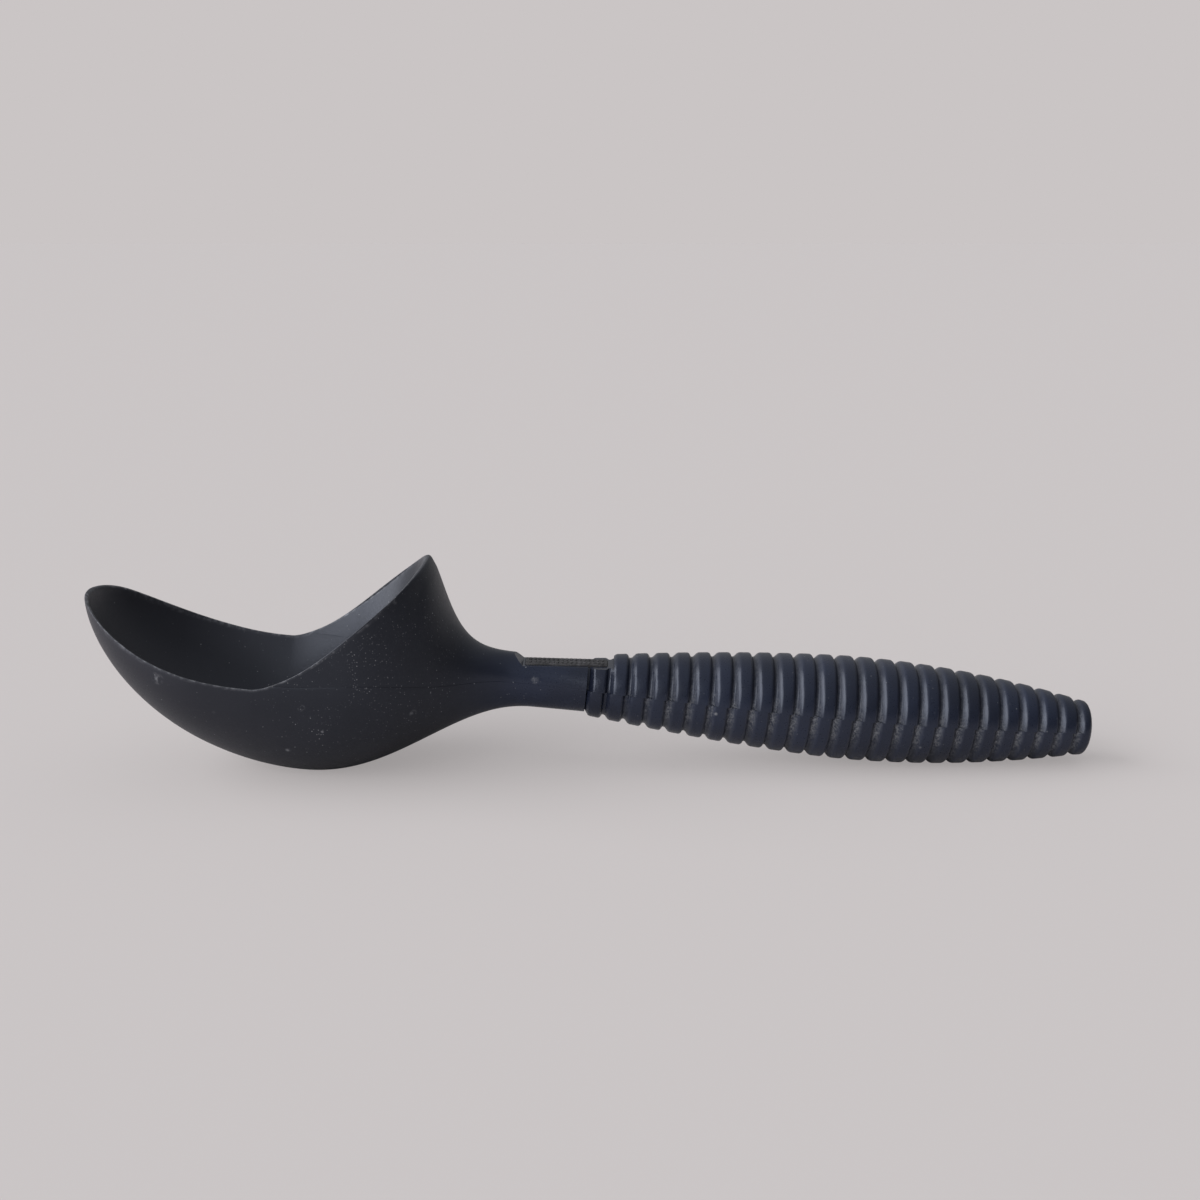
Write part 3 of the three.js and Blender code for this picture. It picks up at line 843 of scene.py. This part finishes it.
def write_finish_masks(piece, stagger):
    places = np.array([to_mould @ vertex.co for vertex in piece.data.vertices])
    x, y, z = places.T
    facing = np.array([vertex.normal for vertex in piece.data.vertices])
    inward = (facing * (places - BOWL_MIDDLE)).sum(1) < 0
    inside = np.where((x < BOWL_LENGTH) & inward, 1, 0)
    # The rim mask carries worn nicks and a painted edge highlight along the rim.
    rim = np.clip(1 - np.abs(z - rim_height(x)) / RIM_WEAR_AND_GLINT_BAND, 0, 1)
    rim = np.where(x < RIM_MARK_END, rim, 0)
    rim = rim * (1 - PEAK_FADE_SHARE * share(x - PEAK_FADE_X, PEAK_FADE_LENGTH))
    crest = np.array([grip_radius(value) for value in x + stagger])
    groove = np.clip((crest - np.hypot(y, z + AXIS_DROP)) / GROOVE_DEPTH, 0, 1)
    groove = np.where(x < BUTT_X - BUTT_DOME, groove, 0)
    near_seam = np.exp(-(((z - DUST_Z) / DUST_SPREAD) ** 2))
    chalk = share(x - DUST_START, DUST_LENGTH) * groove * (DUST_LEAST + (1 - DUST_LEAST) * near_seam)
    handle = 1 - ease_down(share(x - BLUE_START, BLUE_LENGTH))
    for name, values in (("inside", inside), ("rim", rim), ("chalk", chalk), ("handle", handle)):
        layer = piece.data.attributes.new(name, "FLOAT", "POINT")
        layer.data.foreach_set("value", values.astype(np.float32))
    print(piece.name, "rim points", int((rim > 0.5).sum()), "chalky points", int((chalk > 0.5).sum()))


write_finish_masks(lower_head, RIB_STAGGER)
write_finish_masks(upper_head, 0)

# %% [markdown]
# ## Finishes
# A small helper adds a node, sets its values and links what it is given, so that each
# finish reads from top to bottom.

# %% Node helpers
def add(tree, kind, values=None, **settings):
    made = tree.nodes.new(kind)
    for name, value in settings.items():
        setattr(made, name, value)
    for name, value in (values or {}).items():
        if isinstance(value, bpy.types.NodeSocket):
            tree.links.new(value, made.inputs[name])
        else:
            made.inputs[name].default_value = value
    return made


def new_finish(name):
    material = bpy.data.materials.new(name)
    material.use_nodes = True
    tree = material.node_tree
    shader = tree.nodes["Principled BSDF"]
    where = add(tree, "ShaderNodeTexCoord").outputs["Object"]
    print("finish", name)
    return material, tree, shader, where


def srgb(code):
    parts = [int(code[i : i + 2], 16) / 255 for i in (0, 2, 4)]
    return (*[p / 12.92 if p <= 0.04045 else ((p + 0.055) / 1.055) ** 2.4 for p in parts], 1)


# %% Helpers for patterns
BUMP_DEPTH = 0.0002


def noise(tree, where, scale, detail):
    return add(tree, "ShaderNodeTexNoise", {"Vector": where, "Scale": scale, "Detail": detail}).outputs["Fac"]


def blend(tree, amount, first, second):
    return add(tree, "ShaderNodeMix", {0: amount, 6: first, 7: second}, data_type="RGBA").outputs[2]


def level(tree, value, low, high, to_low=0.0, to_high=1.0):
    limits = {"Value": value, "From Min": low, "From Max": high, "To Min": to_low, "To Max": to_high}
    return add(tree, "ShaderNodeMapRange", limits).outputs["Result"]


def reckon(tree, operation, first, second):
    return add(tree, "ShaderNodeMath", {0: first, 1: second}, operation=operation).outputs[0]


def times(tree, first, second):
    return reckon(tree, "MULTIPLY", first, second)


def distance(tree, where, place):
    return add(tree, "ShaderNodeVectorMath", {0: where, 1: place}, operation="DISTANCE").outputs["Value"]


def grainy_bump(tree, shader, height, strength):
    bump = add(tree, "ShaderNodeBump", {"Height": height, "Strength": strength, "Distance": BUMP_DEPTH})
    tree.links.new(bump.outputs["Normal"], shader.inputs["Normal"])


# %% [markdown]
# Both halves are the same moulded plastic: charcoal on the bowl, bluer and a little glossier
# on the handle, and smooth inside the bowl. Toward the tip the bowl is painted lighter and warmer, as painted
# light.
# Small pale specks lie thickest on the heel, the rim's edge is lighter, partly worn nicks and
# partly a painted edge highlight, and pale dust sits in the grooves.

# %% Specks and scuffs
HEEL_MIDDLE = to_rest @ Vector((61, -19, 4))
MARKS = [
    (20.1, -19.4, -0.8, 1.5),
    (48.5, -20.5, -4.0, 0.9),
    (52.6, -19.1, -9.1, 0.4),
    (45.5, -16.2, -14.5, 0.7),
    (69.8, -15.0, -4.9, 0.9),
    (72.4, -12.7, -5.7, 0.7),
    (65.1, -16.4, 17.9, 0.6),
    (93.4, -4.5, 0.9, 1.0),
]
SPECK_TONE, FLECK_TONE, SCUFF_TONE = srgb("a3a4a8"), srgb("9a9b9f"), srgb("85868b")


def specks(tree, where, scale, size, share_kept):
    cells = add(tree, "ShaderNodeTexVoronoi", {"Vector": where, "Scale": scale})
    chance = add(tree, "ShaderNodeSeparateColor", {"Color": cells.outputs["Color"]})
    dot = level(tree, cells.outputs["Distance"], size, 0.4 * size)
    kept = reckon(tree, "LESS_THAN", chance.outputs["Red"], share_kept)
    brightness = times(tree, chance.outputs["Green"], chance.outputs["Green"])
    return times(tree, times(tree, dot, kept), brightness)


def scuffs(tree, where, spots):
    total = 0.0
    for x, y, z, size in MARKS:
        away = distance(tree, where, to_rest @ Vector((x, y, z)))
        total = reckon(tree, "MAXIMUM", total, level(tree, away, size * MM, 0.2 * size * MM))
    return times(tree, total, level(tree, spots, 0.44, 0.62))


def marked(tree, where, colour, cloud, spots):
    from_heel = distance(tree, where, HEEL_MIDDLE)
    fine = specks(tree, where, 2300, 0.34, level(tree, from_heel, 0.006, 0.024, 0.6, 0.035))
    fine = times(tree, fine, times(tree, level(tree, cloud, 0.3, 0.6), 0.7))
    large = specks(tree, where, 240, 0.11, 0.1)
    large = times(tree, large, level(tree, spots, 0.4, 0.6))
    colour = blend(tree, fine, colour, SPECK_TONE)
    colour = blend(tree, large, colour, FLECK_TONE)
    return blend(tree, times(tree, scuffs(tree, where, spots), 0.6), colour, SCUFF_TONE)


print(len(MARKS), "scuffs placed by hand")

# %% [markdown]
# The plain tones come first, with painted light that lightens the bowl's front toward its tip,
# then the marks, then what the attributes ask for. Roughness is
# put together in the same way: matt bowl, glossier handle, dull dust.

# %% Moulded plastic
CHARCOAL = (srgb("0f1016"), srgb("18191f"))
NAVY = (srgb("121623"), srgb("1c2233"))
# The tip tone is painted light: a lighter, warmer tone laid on the bowl's front near its tip.
INSIDE_TONE, PAINTED_TIP_LIGHT_TONE = srgb("13141b"), srgb("2b292d")
NICK_AND_PAINTED_GLINT_TONE, DUST_TONE = srgb("9a9ba1"), srgb("85868a")
BOWL_ROUGHNESS = 0.5
HANDLE_ROUGHNESS = 0.31
DUST_ROUGHNESS = 0.3
INSIDE_POLISH = -0.04
COOL_SHINE = (0.78, 0.84, 1, 1)


def plain_tone_and_painted_tip_light(tree, where, cloud, inside, handle):
    mottle = level(tree, cloud, 0.3, 0.7)
    colour = blend(tree, handle, blend(tree, mottle, *CHARCOAL), blend(tree, mottle, *NAVY))
    colour = blend(tree, times(tree, inside, 0.7), colour, INSIDE_TONE)
    # Painted light: the bowl's front is blended toward a lighter, warmer tone near its tip.
    along = add(tree, "ShaderNodeSeparateXYZ", {"Vector": where}).outputs["X"]
    return blend(tree, level(tree, along, -0.1, -0.06, 0.6, 0), colour, PAINTED_TIP_LIGHT_TONE)


def worn_rim_glint_and_dust(tree, colour, rim, chalk, grain, spots):
    # Painted highlight: the rim's edge is lightened in broken patches, partly worn nicks and partly a painted
    # edge highlight.
    nicks_and_painted_glint = level(tree, spots, 0.45, 0.68, 0.08, 0.48)
    colour = blend(tree, times(tree, rim, nicks_and_painted_glint), colour, NICK_AND_PAINTED_GLINT_TONE)
    dust = times(tree, level(tree, grain, 0.38, 0.62, 0.1, 1.0), level(tree, spots, 0.36, 0.6, 0.35, 0.8))
    return blend(tree, times(tree, chalk, dust), colour, DUST_TONE)


def plastic_roughness(tree, inside, chalk, handle, grain):
    rough = level(tree, handle, 0, 1, BOWL_ROUGHNESS, HANDLE_ROUGHNESS)
    for change in (
        times(tree, inside, INSIDE_POLISH),
        level(tree, grain, 0.3, 0.7, -0.05, 0.05),
        times(tree, chalk, DUST_ROUGHNESS),
    ):
        rough = reckon(tree, "ADD", rough, change)
    return rough


def moulded_plastic():
    material, tree, shader, where = new_finish("moulded_plastic")
    inside, rim, chalk, handle = [
        add(tree, "ShaderNodeAttribute", attribute_name=name).outputs["Fac"]
        for name in ("inside", "rim", "chalk", "handle")
    ]
    cloud, spots, grain = [noise(tree, where, *kind) for kind in ((70, 4), (900, 5), (2600, 3))]
    colour = plain_tone_and_painted_tip_light(tree, where, cloud, inside, handle)
    colour = marked(tree, where, colour, cloud, spots)
    colour = worn_rim_glint_and_dust(tree, colour, rim, chalk, grain, spots)
    tree.links.new(colour, shader.inputs["Base Color"])
    tree.links.new(plastic_roughness(tree, inside, chalk, handle, grain), shader.inputs["Roughness"])
    shader.inputs["Specular IOR Level"].default_value = 0.5
    shader.inputs["Specular Tint"].default_value = COOL_SHINE
    grainy_bump(tree, shader, grain, 0.1)
    return material


plastic = moulded_plastic()
for moulding in (lower_head, upper_head):
    moulding.data.materials.append(plastic)

# %% [markdown]
# The label is a greyer, rougher plastic than the mouldings. The bar inside the neck is plain
# steel and hardly ever seen, so it stays the CAD solid. Both finishes are a soft mottle of
# two tones, so one function makes them.

# %% Label and core
ROUGHNESS_SWING = 0.08


def plain_finish(name, dark, light, roughness, metal):
    material, tree, shader, where = new_finish(name)
    cloud = noise(tree, where, 900, 4)
    tree.links.new(blend(tree, level(tree, cloud, 0.3, 0.7), dark, light), shader.inputs["Base Color"])
    rough = level(tree, cloud, 0.3, 0.7, roughness - ROUGHNESS_SWING, roughness + ROUGHNESS_SWING)
    tree.links.new(rough, shader.inputs["Roughness"])
    shader.inputs["Metallic"].default_value = metal
    grainy_bump(tree, shader, cloud, 0.2)
    return material


plate.data.materials.append(plain_finish("label_grey", srgb("151518"), srgb("47464a"), 0.6, 0))
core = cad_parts["core_bar"]
core.data.materials.clear()
core.data.materials.append(plain_finish("core_steel", srgb("8a8d90"), srgb("a9acae"), 0.35, 1))

# %% [markdown]
# ## Places in the CAD frame
# Each new piece rides on the part's one body and takes the place of its CAD solid.

# %% Riding on the CAD body
for piece, node, slot in (
    (lower_head, "lower_moulding", "bowl_plastic"),
    (upper_head, "upper_moulding", "grip_plastic"),
    (plate, "label_plate", "label_grey"),
):
    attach(piece, "root")
    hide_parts(node)
    print(piece.name, "replaces", node)

# %% [markdown]
# ## Floor and light
# A plain pale floor lies under the scoop, and two large soft suns light it from the left, as
# tall windows would. The camera sees part of the floor, and all of what is beyond it, in one
# pale tone, so that no horizon shows, while the light on the scoop stays the same.

# %% Floor
PALE = srgb("cac5c5")
FLOOR_TONE = srgb("cbc6c6")
FLOOR_SIZE = 40
PALE_SHARE = 0.55
bpy.ops.object.select_all(action="DESELECT")
bpy.ops.mesh.primitive_plane_add(size=FLOOR_SIZE)
floor = bpy.context.object
floor.name = "floor"
floor_material, floor_tree, floor_shader, _ = new_finish("pale_floor")
floor_shader.inputs["Base Color"].default_value = FLOOR_TONE
floor_shader.inputs["Roughness"].default_value = 0.9
floor_shader.inputs["Specular IOR Level"].default_value = 0
pale = add(floor_tree, "ShaderNodeEmission", {"Color": PALE})
seen = add(floor_tree, "ShaderNodeLightPath").outputs["Is Camera Ray"]
amount = times(floor_tree, seen, PALE_SHARE)
floor_mix = add(floor_tree, "ShaderNodeMixShader", {0: amount, 1: floor_shader.outputs[0], 2: pale.outputs[0]})
floor_tree.links.new(floor_mix.outputs[0], floor_tree.nodes["Material Output"].inputs["Surface"])
floor.data.materials.append(floor_material)

# %% Lamps
def soft_sun(name, toward, spread, strength):
    turn = (-Vector(toward)).to_track_quat("-Z", "Y").to_euler()
    bpy.ops.object.light_add(type="SUN", location=toward, rotation=turn)
    lamp = bpy.context.object
    lamp.name = name
    lamp.data.angle = math.radians(spread)
    lamp.data.energy = strength
    print(name, "strength", strength)


soft_sun("front_left_window", toward=(-0.66, -0.66, 0.36), spread=45, strength=1.8)
soft_sun("left_window", toward=(-0.86, -0.02, 0.51), spread=50, strength=2.2)

# %% Soft dome, with the floor's pale tone behind the object
DOME_TONE = (0.97, 0.98, 1, 1)
DOME_TOP = (-0.45, 0.2, 0.87)
DOME_DIM, DOME_BRIGHT = 0.15, 0.6
world = bpy.data.worlds.new("studio")
scene.world = world
world.use_nodes = True
sky = world.node_tree
dome = sky.nodes["Background"]
way = add(sky, "ShaderNodeTexCoord").outputs["Generated"]
height = add(sky, "ShaderNodeVectorMath", {0: way, 1: DOME_TOP}, operation="DOT_PRODUCT").outputs["Value"]
dome.inputs["Color"].default_value = DOME_TONE
sky.links.new(level(sky, height, -0.2, 1.0, DOME_DIM, DOME_BRIGHT), dome.inputs["Strength"])
behind = add(sky, "ShaderNodeBackground", {"Color": PALE, "Strength": 1.0})
seen = add(sky, "ShaderNodeLightPath").outputs["Is Camera Ray"]
mixed = add(sky, "ShaderNodeMixShader", {0: seen, 1: dome.outputs[0], 2: behind.outputs[0]})
sky.links.new(mixed.outputs[0], sky.nodes["World Output"].inputs["Surface"])
print("dome from", DOME_DIM, "to", DOME_BRIGHT)
